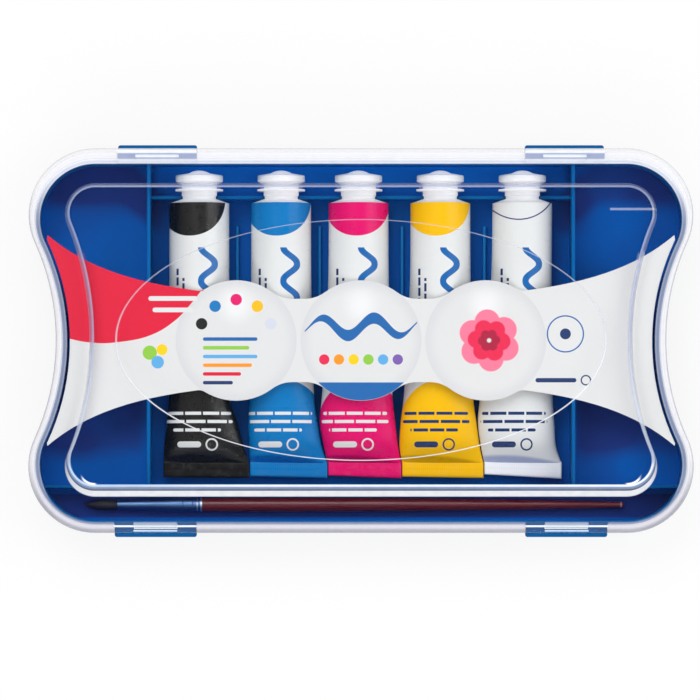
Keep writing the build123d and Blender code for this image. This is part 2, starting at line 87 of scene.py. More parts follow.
# ---------------------------------------------------------------- materials
class Surface:
    """A material's nodes, with short calls for the maths that draws on a surface."""

    def __init__(self, name):
        self.material = bpy.data.materials.new(name)
        self.material.use_nodes = True
        self.tree = self.material.node_tree
        self.tree.nodes.clear()
        self.output = self.add("ShaderNodeOutputMaterial")
        self.coordinates = self.add("ShaderNodeTexCoord")
        self.place = self.vector("SCALE", self.coordinates.outputs["Object"], scale=1 / MM)
        split = self.add("ShaderNodeSeparateXYZ")
        self.feed(split.inputs[0], self.place)
        self.x, self.y, self.z = split.outputs

    def add(self, kind, **settings):
        node = self.tree.nodes.new(kind)
        for key, value in settings.items():
            setattr(node, key, value)
        return node

    def feed(self, socket, value):
        """Links value to the socket, or writes it there if it is a constant."""
        if isinstance(value, bpy.types.NodeSocket):
            self.tree.links.new(value, socket)
        else:
            socket.default_value = value

    def math(self, operation, *values, clamp=False):
        node = self.add("ShaderNodeMath", operation=operation, use_clamp=clamp)
        for socket, value in zip(node.inputs, values):
            self.feed(socket, value)
        return node.outputs[0]

    def chain(self, operation, values, clamp=False):
        """One operation over all values, from left to right."""
        total = values[0]
        for value in values[1:]:
            total = self.math(operation, total, value, clamp=clamp)
        return total

    def plus(self, *values, clamp=False):
        return self.chain("ADD", values, clamp)

    def minus(self, *values, clamp=False):
        return self.chain("SUBTRACT", values, clamp)

    def times(self, *values):
        return self.chain("MULTIPLY", values)

    def ratio(self, *values, clamp=False):
        return self.chain("DIVIDE", values, clamp)

    def most(self, *values):
        return self.chain("MAXIMUM", values)

    def size(self, value):
        return self.math("ABSOLUTE", value)

    def vector(self, operation, *values, scale=None):
        node = self.add("ShaderNodeVectorMath", operation=operation)
        for socket, value in zip(node.inputs, values):
            self.feed(socket, value)
        if scale is not None:
            self.feed(node.inputs["Scale"], scale)
        gives_number = operation in ("DISTANCE", "LENGTH", "DOT_PRODUCT")
        return node.outputs["Value" if gives_number else 0]

    def ramp(self, value, low, high, out_low=0.0, out_high=1.0):
        """value from low to high, mapped smoothly to out_low to out_high and held beyond them."""
        node = self.add("ShaderNodeMapRange", interpolation_type="SMOOTHSTEP")
        for key, number in (("Value", value), ("From Min", low), ("From Max", high)):
            self.feed(node.inputs[key], number)
        self.feed(node.inputs["To Min"], out_low)
        self.feed(node.inputs["To Max"], out_high)
        return node.outputs[0]

    def below(self, value, edge, soft=0.06):
        """1 where value is under edge and 0 over it, with a soft step between."""
        if isinstance(edge, bpy.types.NodeSocket):
            value, edge = self.minus(value, edge), 0.0
        return self.ramp(value, edge - soft, edge + soft, 1.0, 0.0)

    def joined(self, x, y):
        """The point (x, y, 0)."""
        point = self.add("ShaderNodeCombineXYZ")
        self.feed(point.inputs[0], x)
        self.feed(point.inputs[1], y)
        return point.outputs[0]

    def flat(self, x, y):
        """The point's distance from (x, y), seen from above."""
        return self.vector("DISTANCE", self.joined(self.x, self.y), (x, y, 0.0))

    def disc(self, x, y, radius, soft=0.06):
        return self.below(self.flat(x, y), radius, soft)

    def ring(self, x, y, radius, width, soft=0.06):
        off = self.size(self.minus(self.flat(x, y), radius))
        return self.below(off, width / 2, soft)

    def bar(self, x, y, length, height, soft=0.06):
        """A bar with round ends, lying along X."""
        beyond = self.minus(self.size(self.minus(self.x, x)), (length - height) / 2)
        beyond = self.most(beyond, 0.0)
        aside = self.minus(self.y, y)
        far = self.math("SQRT", self.plus(self.times(beyond, beyond), self.times(aside, aside)))
        return self.below(far, height / 2, soft)

    def band(self, value, low, high, soft=0.15):
        """1 where value is between low and high."""
        return self.times(self.below(value, high, soft), self.minus(1.0, self.below(value, low, soft)))

    def pick(self, choice, first, second):
        """first where choice is 0 and second where it is 1, for plain numbers."""
        node = self.add("ShaderNodeMix", data_type="FLOAT")
        for socket, value in zip((node.inputs[0], node.inputs[2], node.inputs[3]), (choice, first, second)):
            self.feed(socket, value)
        return node.outputs[0]

    def mix(self, share, first, second):
        node = self.add("ShaderNodeMix", data_type="RGBA")
        for socket, value in ((node.inputs[0], share), (node.inputs[6], first), (node.inputs[7], second)):
            self.feed(socket, value)
        return node.outputs[2]

    def noise(self, scale, detail=2.0, rough=0.5, place=None):
        """A noise pattern with about scale features in each millimetre."""
        node = self.add("ShaderNodeTexNoise")
        self.feed(node.inputs["Vector"], place or self.place)
        for key, number in (("Scale", scale), ("Detail", detail), ("Roughness", rough)):
            self.feed(node.inputs[key], number)
        return node.outputs[0]

    def bump(self, height, strength, distance=0.1, normal=None):
        """distance is how deep a height of 1 is, in millimetres."""
        node = self.add("ShaderNodeBump")
        self.feed(node.inputs["Strength"], strength)
        self.feed(node.inputs["Distance"], distance * MM)
        self.feed(node.inputs["Height"], height)
        if normal is not None:
            self.feed(node.inputs["Normal"], normal)
        return node.outputs[0]

    def blend(self, share, first, second):
        """A shader that is first where share is 0 and second where it is 1."""
        node = self.add("ShaderNodeMixShader")
        self.feed(node.inputs[0], share)
        self.feed(node.inputs[1], first.outputs[0])
        self.feed(node.inputs[2], second.outputs[0])
        return node

    def show(self, shader):
        """Finishes the material with this shader."""
        self.tree.links.new(shader.outputs[0], self.output.inputs["Surface"])

    def principled(self, **values):
        """Finishes the material with a Principled shader, its inputs named with _ for spaces."""
        node = self.add("ShaderNodeBsdfPrincipled")
        for key, value in values.items():
            self.feed(node.inputs[key.replace("_", " ")], value)
        self.show(node)


def dress(piece, surface):
    piece.data.materials.clear()
    piece.data.materials.append(surface.material)


# ---------------------------------------------------------------- tray and lid
# Waisted outlines seen from above: half length, half depth, corner radius, how far the waist
# is drawn in, and the y of the middle.
TRAY_RIM = (119.4, 66.9, 21.9, 10.0, -0.5)
LID_RIM = (122.0, 70.6, 24.5, 10.0, 0.0)
PLATEAU_FOOT = (108.9, 58.2, 11.5, 9.0, -0.2)
PLATEAU_TOP = (107.5, 55.35, 10.1, 9.0, 1.35)
FOOT_Z, LEDGE_Z, TOP_Z = 23.5, 24.9, 29.6
OVAL_HALF_LENGTH, OVAL_HALF_DEPTH = 89.9, 44.2


def outline_gap(s, half_length, half_depth, radius, draw_in, middle_y):
    """How far a point lies outside a waisted outline, seen from above; below 0 is inside."""
    corner = Vector((half_length - radius, half_depth - radius))
    reach = (draw_in**2 + corner.y**2) / (2 * draw_in)
    waist_radius = reach - radius
    waist = Vector((half_length - draw_in + waist_radius, 0.0))
    x = s.size(s.x)
    y = s.size(s.minus(s.y, middle_y))
    point = s.joined(x, y)
    beyond_line = s.minus(y, half_depth)
    beyond_corner = s.minus(s.vector("DISTANCE", point, (corner.x, corner.y, 0.0)), radius)
    beyond_waist = s.minus(waist_radius, s.vector("DISTANCE", point, (waist.x, 0.0, 0.0)))
    aim = (waist - corner).normalized()
    side = s.vector("DOT_PRODUCT", point, (aim.y, -aim.x, 0.0))
    by_waist = s.math("GREATER_THAN", side, aim.y * corner.x - aim.x * corner.y)
    round_end = s.pick(by_waist, beyond_corner, beyond_waist)
    return s.pick(s.math("GREATER_THAN", x, corner.x), beyond_line, round_end)


def tray_floor_shade_and_light(s):
    """Painted shade on the floor: deep blue in the trough, along the rear and at the pockets' outer ends;
    painted light: bright between the tubes and behind the caps.
    """
    across = s.size(s.x)
    rear_start = s.ramp(across, 70.0, 90.0, 38.0, 51.0)
    rear_end = s.ramp(across, 70.0, 90.0, 55.0, 68.0)
    rear = s.times(s.band(s.y, rear_start, rear_end, 4.0), s.ramp(across, 70.0, 90.0, 0.55, 1.0))
    ends = s.times(s.band(s.y, -41.0, -8.0, 5.0), s.ramp(across, 76.0, 84.0))
    # painted light: the floor between the tubes is kept bright
    middle = s.times(s.below(across, 74.0, 3.0), 0.55)
    trough = s.band(s.y, -64.9, -56.0, 0.7)
    cloudy = s.ramp(s.noise(0.03, 2.0), 0.35, 0.65, -0.25, 0.25)
    # painted shade: the floor turns deep blue where it lies in shade
    painted_shade = s.plus(s.most(rear, ends), 0.05, cloudy)
    painted_shade = s.most(s.minus(painted_shade, middle, clamp=True), trough)
    colour = s.mix(painted_shade, srgb(0, 104, 202), srgb(34, 62, 142))
    # painted light on the floor strip behind the caps
    painted_light_behind_caps = s.times(s.ramp(s.y, 54.0, 59.0), s.below(across, 76.0, 2.0))
    return s.mix(painted_light_behind_caps, colour, srgb(0, 142, 252))


def tray_plastic():
    """Blue polypropylene with a faint moulded grain, with painted shade in soft patches and painted light
    on the floor, and painted light on the ribs.
    """
    s = Surface("tray_blue")
    grain = s.noise(3.0, 2.0)
    on_floor = s.times(s.below(s.z, 3.0, 0.5), s.below(outline_gap(s, *TRAY_RIM), -0.7, 0.3))
    # the low ribs between the tubes, two on each side of the middle, made lighter as painted light
    rib_x = (15.2, 45.7)
    middle, apart = sum(rib_x) / 2, (rib_x[1] - rib_x[0]) / 2
    off_rib = s.size(s.minus(s.size(s.minus(s.size(s.x), middle)), apart))
    rib_painted_light = s.times(s.below(off_rib, 0.9, 0.2), s.band(s.z, 2.2, 14.0), s.band(s.y, -50.0, 47.0))
    # painted light: the ribs take a lighter blue than the walls
    walls = s.mix(rib_painted_light, srgb(0, 92, 158), srgb(30, 146, 226))
    soft_edge = s.add("ShaderNodeBevel", samples=4)
    s.feed(soft_edge.inputs["Radius"], 0.35 * MM)
    s.principled(
        Base_Color=s.mix(on_floor, walls, tray_floor_shade_and_light(s)),
        Roughness=s.ramp(grain, 0.3, 0.7, 0.26, 0.38),
        Normal=s.bump(grain, 0.1, 0.03, soft_edge.outputs[0]),
        Specular_IOR_Level=0.05,
    )
    return s


def plateau_look(s):
    """The lid's raised middle: where it is, its colour of painted reflections, highlights and shade, how
    milky it is and where its painted glints are.
    """
    across = s.size(s.x)
    front = s.below(s.y, -45.0, 2.0)
    foot_gap = outline_gap(s, *PLATEAU_FOOT)
    top_gap = outline_gap(s, *PLATEAU_TOP)
    here = s.times(s.ramp(s.z, LEDGE_Z + 0.03, LEDGE_Z + 0.15), s.below(foot_gap, 1.0, 0.3))
    # only the outer skin is milky: rise is how far up the slope this point lies
    inward = s.most(s.times(foot_gap, -1.0), 0.001)
    rise = s.ratio(inward, s.plus(inward, s.most(top_gap, 0.0)), clamp=True)
    depth = s.minus(s.plus(FOOT_Z, s.times(rise, TOP_Z - FOOT_Z)), s.z)
    outer = s.below(depth, 0.8, 0.1)
    # the flank takes in the rounded edge at its top, a little more of it at the waist
    edge_share = s.minus(s.ramp(s.y, 5.0, -25.0, 0.0, 0.45), s.times(front, 0.15))
    flank = s.times(s.ramp(s.plus(top_gap, edge_share), -0.85, -0.65), here, outer)
    # the flank's lilac-grey tones are painted reflection, paler towards the front and greyer again on the
    # front flank
    colour = s.mix(s.ramp(s.y, 10.0, -30.0), srgb(160, 170, 206), srgb(196, 206, 226))
    colour = s.mix(front, colour, srgb(160, 172, 196))
    # down the front flank and its corners, painted light and shade: a bright crest of painted highlight, a
    # dark seam of painted shade, a white painted highlight under it, a duller foot of painted shade
    crest_highlight = s.times(front, s.below(top_gap, -0.25, 0.12))
    crest_highlight_colour = s.mix(s.ramp(s.x, -85.0, -45.0), srgb(186, 212, 240), srgb(230, 240, 252))
    colour = s.mix(crest_highlight, colour, crest_highlight_colour)
    corner = s.times(s.ramp(across, 88.0, 101.0), s.ramp(s.y, -20.0, -44.0, 0.0, 0.9))
    low = s.times(s.most(front, corner), s.below(s.z, 27.9, 0.12))
    foot_shade = s.ramp(s.z, 25.0, 25.7, 1.0, 0.0)
    colour = s.mix(low, colour, s.mix(foot_shade, srgb(252, 253, 255), srgb(206, 214, 228)))
    seam_shade = s.times(front, s.band(s.z, 28.05, 28.6, 0.15))
    colour = s.mix(seam_shade, colour, srgb(104, 120, 152))
    milk = s.times(s.plus(0.68, s.times(s.most(low, crest_highlight), 0.28)), flank)
    # a painted glint at each front corner and a painted reflection streak at the right
    corner_glint = s.times(s.band(foot_gap, -6.0, -5.2, 0.15), front, s.band(across, 97.0, 102.0, 0.8))
    reflection_streak = s.times(s.band(s.y, 47.5, 48.4), s.band(s.x, 91.2, 109.4), 0.4)
    glint = s.times(s.most(corner_glint, reflection_streak), outer, here)
    return here, colour, milk, glint


def oval_edge(s):
    """A painted highlight along the thin edge of the raised oval, brighter towards the front."""
    point = s.joined(s.ratio(s.x, OVAL_HALF_LENGTH), s.ratio(s.y, OVAL_HALF_DEPTH))
    edge = s.band(s.vector("LENGTH", point), 0.9935, 1.001, 0.0015)
    return s.times(edge, s.ramp(s.z, 29.2, 29.5), s.ramp(s.y, 20.0, -30.0, 0.5, 0.85))


def rim_look(s):
    """The lid's skirt and ledge: milky outside the tray's rim, lilac over it, with painted shade and
    painted light in their tones.
    """
    rim_gap = outline_gap(s, *LID_RIM)
    tray_gap = outline_gap(s, *TRAY_RIM)
    rear = s.ramp(s.y, 40.0, 62.0)
    near_front = s.ramp(s.y, -40.0, -62.0)
    # towards the front the skirt greys outwards: painted shade on its rounded edge
    front_colour = s.mix(s.ramp(rim_gap, -2.2, -0.6), srgb(220, 217, 228), srgb(158, 160, 174))
    colour = s.mix(near_front, srgb(240, 240, 245), front_colour)
    # thin grey lines along the lid's edge and the tray's rim edge are painted shade, fainter at the rear
    edges = s.most(s.band(rim_gap, -0.4, 0.3, 0.12), s.band(tray_gap, 0.1, 0.5, 0.15))
    edges = s.times(edges, s.ramp(rear, 0.0, 1.0, 0.7, 0.15))
    colour = s.mix(edges, colour, srgb(192, 192, 206))
    # over the tray's rim: lilac at the front, near white at the rear as painted light
    over_tray = s.band(tray_gap, s.ramp(s.y, -62.0, -50.0, -0.75, -1.5), 0.2, 0.25)
    colour = s.mix(over_tray, colour, s.mix(rear, srgb(168, 178, 204), srgb(238, 242, 253)))
    clear_rear = s.times(rear, s.ramp(rim_gap, -1.9, -1.2))
    skirt_milk = s.times(s.ramp(tray_gap, 0.0, 0.5), s.ramp(clear_rear, 0.0, 1.0, 0.66, 0.2))
    milk = s.most(skirt_milk, s.times(over_tray, s.ramp(s.y, 40.0, 62.0, 0.5, 0.72)))
    return colour, milk


def lug_look(s, colour, milk):
    """The rim's colour and milk with the four pads over the tray's lugs laid over them."""
    up = s.size(s.y)
    lug_x = s.ramp(s.y, -60.0, 60.0, 75.4, 74.85)
    lug_half = s.ramp(s.y, -60.0, 60.0, 15.1, 14.55)
    off_middle = s.size(s.minus(s.size(s.x), lug_x))
    pad = s.times(s.below(off_middle, lug_half, 0.15), s.ramp(up, 66.5, 66.9))
    window = s.below(off_middle, 8.0, 0.15)
    # at the rear: a white band of painted highlight, then lilac arms with a bright window between them
    rear_colour = s.mix(s.ramp(up, 68.4, 69.1), srgb(160, 172, 204), srgb(248, 250, 255))
    rear_colour = s.mix(s.times(window, s.band(up, 67.2, 68.3, 0.12)), rear_colour, srgb(238, 244, 255))
    rear_milk = s.ramp(up, 69.9, 70.4, 0.86, 0.6)
    # at the front: blue shows through but for a pale line of painted highlight and a pale window
    line = s.band(up, 67.8, 68.5, 0.12)
    lip = s.times(window, s.band(up, 69.45, 70.15, 0.1))
    front_milk = s.pick(s.ramp(up, 68.5, 68.7), s.ramp(window, 0.0, 1.0, 0.04, 0.55), 0.05)
    front_milk = s.most(front_milk, s.times(s.most(line, lip), 0.85))
    front_colour = s.mix(line, s.mix(lip, srgb(176, 190, 214), srgb(186, 214, 244)), srgb(232, 243, 255))
    at_front = s.below(s.y, 0.0)
    colour = s.mix(pad, colour, s.mix(at_front, rear_colour, front_colour))
    return colour, s.pick(pad, milk, s.pick(at_front, rear_milk, front_milk))


def see_through(s):
    """The clear plastic: nearly colourless, with a gloss that grows towards its silhouette."""
    facing = s.add("ShaderNodeLayerWeight")
    facing.inputs["Blend"].default_value = 0.5
    gloss_share = s.plus(0.004, s.times(0.7, s.math("POWER", facing.outputs["Facing"], 4.0)), clamp=True)
    through = s.add("ShaderNodeBsdfTransparent")
    s.feed(through.inputs["Color"], (0.996, 0.997, 0.999, 1))
    gloss = s.add("ShaderNodeBsdfGlossy")
    s.feed(gloss.inputs["Roughness"], s.ramp(s.noise(0.4, 3.0), 0.3, 0.7, 0.015, 0.05))
    s.feed(gloss.inputs["Normal"], s.bump(s.noise(0.06, 1.0), 0.25, 0.4))
    return s.blend(gloss_share, through, gloss)


def clear_plastic():
    """Clear polystyrene: see-through on the flat, with bright milky walls, rim and slopes whose tones hold
    painted highlights, reflections and shade.
    """
    s = Surface("lid_clear")
    on_plateau, flank_colour, flank_milk, glint = plateau_look(s)
    rim_colour, rim_milk = lug_look(s, *rim_look(s))
    # painted highlights: the oval's edge and the glints
    painted_highlights = s.most(oval_edge(s), glint)
    colour = s.mix(on_plateau, rim_colour, flank_colour)
    colour = s.mix(painted_highlights, colour, srgb(250, 250, 252))
    milk_share = s.most(flank_milk, s.times(rim_milk, s.minus(1.0, on_plateau)), painted_highlights)
    milk_share = s.times(milk_share, s.ramp(s.noise(0.3, 3.0), 0.2, 0.8, 0.9, 1.0))
    milk = s.add("ShaderNodeBsdfPrincipled")
    s.feed(milk.inputs["Base Color"], colour)
    s.feed(milk.inputs["Roughness"], 0.12)
    s.show(s.blend(milk_share, see_through(s), milk))
    return s


def white_plastic():
    """White polypropylene of caps and nozzles; a glow by place is painted light, faint on the nozzles and
    stronger on the cap heads, which lie in the shade of the tray's rear wall and the lid's rim.
    """
    s = Surface("cap_white")
    grain = s.noise(2.2, 2.0)
    shoulder_end, head_start = 57.4, 60.9
    # painted light: a glow below the shoulder's end and a stronger one on the cap heads
    glow = s.mix(s.ramp(s.y, shoulder_end, shoulder_end + 1.0), grey(0.14), grey(0.0))
    glow = s.mix(s.ramp(s.y, head_start, head_start + 0.8), glow, grey(0.46))
    s.principled(
        Base_Color=s.mix(s.noise(0.15), srgb(232, 233, 236), srgb(240, 240, 242)),
        Roughness=s.ramp(grain, 0.3, 0.7, 0.32, 0.44),
        Normal=s.bump(grain, 0.15, 0.03),
        Subsurface_Weight=0.6,
        Subsurface_Radius=(1.0, 1.0, 1.0),
        Subsurface_Scale=0.004,
        Emission_Color=glow,
        Emission_Strength=1.0,
    )
    return s


def paint_paste(name, ink):
    """The gouache inside a tube, with pale streaks."""
    s = Surface(f"{name}_paste")
    roughness = s.ramp(s.noise(1.0), 0.3, 0.7, 0.4, 0.6)
    s.principled(Base_Color=s.mix(s.noise(0.5), ink, WHITE_PRINT), Roughness=roughness)
    return s


def floor_material():
    """A pale floor: a dim surface that takes the shadows, and a glow that lights nothing."""
    s = Surface("studio_floor")
    diffuse = s.add("ShaderNodeBsdfDiffuse")
    s.feed(diffuse.inputs["Color"], s.mix(s.noise(0.004), grey(0.12), grey(0.125)))
    rays = s.add("ShaderNodeLightPath")
    seen = s.most(*(rays.outputs[f"Is {kind} Ray"] for kind in ("Camera", "Glossy", "Transmission")))
    glow = s.add("ShaderNodeEmission")
    s.feed(glow.inputs["Strength"], s.times(seen, 0.85))
    both = s.add("ShaderNodeAddShader")
    s.feed(both.inputs[0], diffuse.outputs[0])
    s.feed(both.inputs[1], glow.outputs[0])
    s.show(both)
    return s


# ---------------------------------------------------------------- tubes
TUBE_RADIUS = 11.0
TAIL_SAG = 0.45  # how far the flattened tube sinks, as a share of the height it loses
TAIL_HALF = 0.65  # half the crimp's thickness
CRIMP_LENGTH = 5.0
CRIMP_LAP = 0.9  # how far the crimp's strip reaches under the skin
# places along a tube: share of the body length and share of the full thickness there
PROFILE = [(0.0, 1.0), (0.25, 0.95), (0.5, 0.83), (0.75, 0.66), (0.84, 0.56), (0.93, 0.36), (1.0, 0.0)]
# at those places, how far a tube lies to the side and how much wider than its radius it is
SHAPES = {
    "black": [(0.0, 0.0), (0.0, 0.05), (0.0, 0.1), (0.0, 0.3), (1.0, 2.0), (1.7, 3.7), (2.55, 4.85)],
    "cyan": [(0.0, 0.0), (0.0, 0.05), (0.1, 0.3), (0.3, 0.9), (0.6, 1.75), (1.6, 2.3), (2.75, 3.25)],
    "magenta": [(0.0, 0.0), (0.0, 0.1), (-0.2, 0.8), (-0.5, 2.1), (-0.35, 2.9), (0.9, 2.7), (2.3, 2.5)],
    "yellow": [(0.0, 0.0), (0.0, 0.1), (-0.3, 0.7), (-0.7, 1.9), (-0.65, 3.0), (-0.25, 3.8), (0.95, 4.0)],
    "white": [(0.0, 0.0), (-0.3, 0.1), (-1.0, 0.9), (-2.25, 2.45), (-2.3, 3.1), (-1.45, 2.9), (0.3, 3.25)],
}
# the painted shade on each tube's fold over the crimp
FOLD_SHADES = {
    "black": srgb(9, 10, 22),
    "cyan": srgb(0, 70, 150),
    "magenta": srgb(152, 0, 86),
    "yellow": srgb(184, 144, 0),
    "white": srgb(140, 153, 196),
}
# how far to the side each round upper zone is centred
ZONES = {"black": -3.3, "cyan": -1.6, "magenta": -0.7, "yellow": -1.7}
# how much each crimp's front edge slants, in millimetres
SLANTS = {"black": 0.15, "cyan": 0.4, "magenta": 0.6, "yellow": 0.3, "white": 0.9}

# how far the fold over the crimp reaches up the tube, as shares of its length: everywhere, more
# in the middle, and more again towards the left end
FOLD_END, FOLD_HUMP, FOLD_LEAN = 0.002, 0.012, 0.0145
# the skin over the crimp: how far it bulges up before the fold, and from where along the tube
BULGE, BULGE_START = 0.9, 0.86
DENT_DEPTH = 0.14
# the crimp's strip: depth of its rounded edges, and the shares of its length and width they take
ROUND_DEPTH, ROUND_ALONG, ROUND_ACROSS = 0.35, 0.07, 0.025
RIBBON_WAVE, RIBBON_SWING, RIBBON_HALF = 12.5, 2.5, 1.15


def fold_height(side):
    """How far the fold over the crimp reaches up the tube; side is -1 to 1 across it."""
    return FOLD_HUMP * (1 - side**2) + FOLD_LEAN * (1 - side) + FOLD_END


def ribbon_mask(s, middle_x):
    """A wavy ribbon of even width down the tube."""
    turn = s.times(s.y, tau / RIBBON_WAVE)
    slope = s.times(s.math("COSINE", turn), RIBBON_SWING * tau / RIBBON_WAVE)
    stretch = s.math("SQRT", s.plus(1.0, s.times(slope, slope)))
    off = s.minus(s.x, s.plus(middle_x, s.times(s.math("SINE", turn), RIBBON_SWING)))
    return s.times(s.below(s.ratio(s.size(off), stretch), RIBBON_HALF), s.band(s.y, -14.0, 34.2, 0.1))


def dashes(s, along, start, pitch, gap):
    """1 on the dashes of a broken line and 0 in its gaps."""
    return s.below(s.math("PINGPONG", s.plus(along, start), pitch), pitch - gap, 0.05)


def upper_zone(s, tube_x, aside):
    """The upper colour zone's circle, which the tube's roundness squeezes towards the sides."""
    middle_y, radius = 52.5, 14.0
    off_axis = s.minus(s.x, tube_x)
    cubed = s.times(s.math("POWER", s.size(off_axis), 3.0), s.math("SIGN", off_axis))
    unrolled = s.plus(off_axis, s.times(cubed, 0.001))
    return s.below(s.vector("DISTANCE", s.joined(unrolled, s.y), (aside, middle_y, 0.0)), radius)


def fold_mask(s, name, tube_x):
    """1 on the fold over the crimp, the same shape as fold_height."""
    shift, widening = SHAPES[name][-1]
    low, high = box_mm(f"tube_{name}_body")
    crimp_y = low.y + CRIMP_LENGTH
    side = s.ratio(s.minus(s.x, tube_x + shift), TUBE_RADIUS + widening)
    hump = s.times(s.minus(1.0, s.times(side, side)), FOLD_HUMP)
    reach = s.plus(hump, s.times(s.minus(1.0, side), FOLD_LEAN), FOLD_END)
    along = s.ratio(s.minus(s.y, crimp_y), high.y - crimp_y)
    return s.below(s.minus(along, reach), 0.0, 0.009)


def tube_print(name, tube_x):
    """The printed skin of a tube: a colour zone at each end, a ribbon between them, plain dashes, and
    painted shade on the fold over the crimp.
    """
    s = Surface(f"tube_{name}_print")
    ink = INKS[name]
    colour = s.mix(ribbon_mask(s, tube_x + 3.4), WHITE_PRINT, BLUE_PRINT)
    # two broken lines down the left side: x from the axis, lower and upper end
    for x, low, high in ((-5.6, 10.0, 23.0), (-7.8, 14.0, 26.5)):
        column = s.below(s.size(s.minus(s.x, tube_x + x)), 0.42)
        reach = s.below(s.size(s.minus(s.y, (low + high) / 2)), (high - low) / 2)
        colour = s.mix(s.times(column, reach, dashes(s, s.y, 100.0 + x, 1.9, 0.4)), colour, NAVY_PRINT)
    if name == "white":
        colour = s.mix(s.ring(tube_x - 1.5, 58.5, 14.0, 0.45), colour, NAVY_PRINT)
    else:
        colour = s.mix(upper_zone(s, tube_x, ZONES[name]), colour, ink)
        colour = s.mix(s.most(s.disc(tube_x + 0.6, -29.4, 15.2), s.below(s.y, -29.0)), colour, ink)
    # three broken rows in the lower zone: y, length, dash, start, x; then a bar and a ring
    words = NAVY_PRINT if name in ("white", "yellow") else WHITE_PRINT
    middle_x = tube_x + SHAPES[name][4][0]
    rows = ((-26.6, 23.5, 3.3, 0.3, -0.9), (-29.6, 24.6, 3.9, 1.1, -0.9), (-32.7, 17.6, 3.0, 0.0, -1.7))
    for y, length, dash, start, x in rows:
        row = s.bar(middle_x + x, y, length, 1.15)
        colour = s.mix(s.times(row, dashes(s, s.x, 200.0 + start, dash, 0.35)), colour, words)
    colour = s.mix(s.bar(middle_x - 4.6, -38.0, 8.8, 2.2), colour, words)
    colour = s.mix(s.ring(middle_x + 3.7, -38.0, 2.0, 0.6), colour, words)
    # painted shade on the fold over the crimp
    colour = s.mix(s.times(fold_mask(s, name, tube_x), 0.8), colour, FOLD_SHADES[name])
    s.principled(
        Base_Color=colour,
        Roughness=s.ramp(s.noise(0.5, 3.0), 0.3, 0.7, 0.26, 0.38),
        Normal=s.bump(s.noise(0.12, 3.0), 0.35, 0.4),
        Specular_IOR_Level=0.35 if name == "black" else 0.16,
        Coat_Weight=0.05,
        Coat_Roughness=0.2,
    )
    return s


def smooth(share):
    """0 to 1 in a smooth step, held beyond them."""
    share = min(max(share, 0.0), 1.0)
    return share * share * (3 - 2 * share)


def profile(name, along):
    """A tube's shift, widening and thickness share at a place, on a smooth curve through its shape."""
    rows = [(place, *shape, thick) for (place, thick), shape in zip(PROFILE, SHAPES[name])]
    k = 0
    while along > rows[k + 1][0] and k < len(rows) - 2:
        k += 1
    here, there = rows[k], rows[k + 1]
    before, after = rows[max(k - 1, 0)], rows[min(k + 2, len(rows) - 1)]
    step = there[0] - here[0]
    t = (along - here[0]) / step
    values = []
    for n in (1, 2, 3):
        start = (there[n] - before[n]) / (there[0] - before[0]) * step
        end = (after[n] - here[n]) / (after[0] - here[0]) * step
        values.append(
            here[n] * (2 * t**3 - 3 * t**2 + 1)
            + start * (t**3 - 2 * t**2 + t)
            + there[n] * (3 * t**2 - 2 * t**3)
            + end * (t**3 - t**2)
        )
    return values


def mesh_piece(name, points, faces, body):
    """A new smooth-shaded mesh piece, its points in millimetres."""
    mesh = bpy.data.meshes.new(name)
    mesh.from_pydata([Vector(p) * MM for p in points], [], faces)
    mesh.validate()
    for face in mesh.polygons:
        face.use_smooth = True
    piece = bpy.data.objects.new(name, mesh)
    bpy.context.scene.collection.objects.link(piece)
    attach(piece, body)
    return piece


def tube_rings(tube_x, name, inset, seed):
    """Points and faces of a tube drawn in by inset: rings from the round shoulder to the flat tail."""
    low, high = box_mm(f"tube_{name}_body")
    shoulder_y, crimp_y = high.y, low.y + CRIMP_LENGTH
    axis_z = high.z - TUBE_RADIUS
    rings, around = 90, 112
    points, faces = [], []
    for i in range(rings + 1):
        along = 1 - (1 - i / rings) ** 1.35  # rings lie closer towards the tail
        shift, widening, thickness = profile(name, along)
        half_width = TUBE_RADIUS + widening - inset
        half_height = TAIL_HALF + thickness * (TUBE_RADIUS - TAIL_HALF)
        middle_z = axis_z - TAIL_SAG * (TUBE_RADIUS - half_height)
        y = shoulder_y - along * (shoulder_y - crimp_y)
        for j in range(around):
            turn = tau * j / around
            side, up = cos(turn), sin(turn)
            height = half_height * up
            if up > 0:
                # the skin bulges a little and then falls to the crimp under a curved crease
                crease = 1 - fold_height(side)
                height += BULGE * smooth((along - BULGE_START) / 0.08) * up
                if along > crease:
                    height = height * (1 - (along - crease) / (1.0001 - crease)) ** 0.8 + 0.05 * up
                else:
                    # soft dents along the tube's middle stretch
                    dented = smooth(along / 0.3) * smooth((0.9 - along) / 0.2)
                    height += DENT_DEPTH * sin(2.2 * side + 9 * along + seed) * dented * up
            height -= inset * up
            if up > 0:
                height = max(height, -0.1 * up)
            points.append((tube_x + shift + half_width * side, y, middle_z + height))
    for i in range(rings):
        for j in range(around):
            a, b = i * around + j, i * around + (j + 1) % around
            faces.append((a, a + around, b + around, b))
    return points, faces, around


def tube(name, tube_x, seed):
    """A tube's skin and crimp in place of its CAD body, and the paint inside."""
    points, faces, _ = tube_rings(tube_x, name, 0.0, seed)
    skin = mesh_piece(f"{name}_tube_skin", points, faces, "tray")
    crimp = crimp_piece(name, tube_x)
    for piece in (skin, crimp):
        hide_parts(f"tube_{name}_body")
    dress(skin, tube_print(name, tube_x))
    dress(crimp, crimp_print(name))
    points, faces, around = tube_rings(tube_x, name, 0.5, seed)
    faces.append(list(range(around)))
    faces.append(list(range(len(points) - 1, len(points) - around - 1, -1)))
    paint = mesh_piece(f"{name}_paint_fill", points, faces, "tray")
    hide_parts(f"tube_{name}_paint")
    dress(paint, paint_paste(name, INKS[name]))


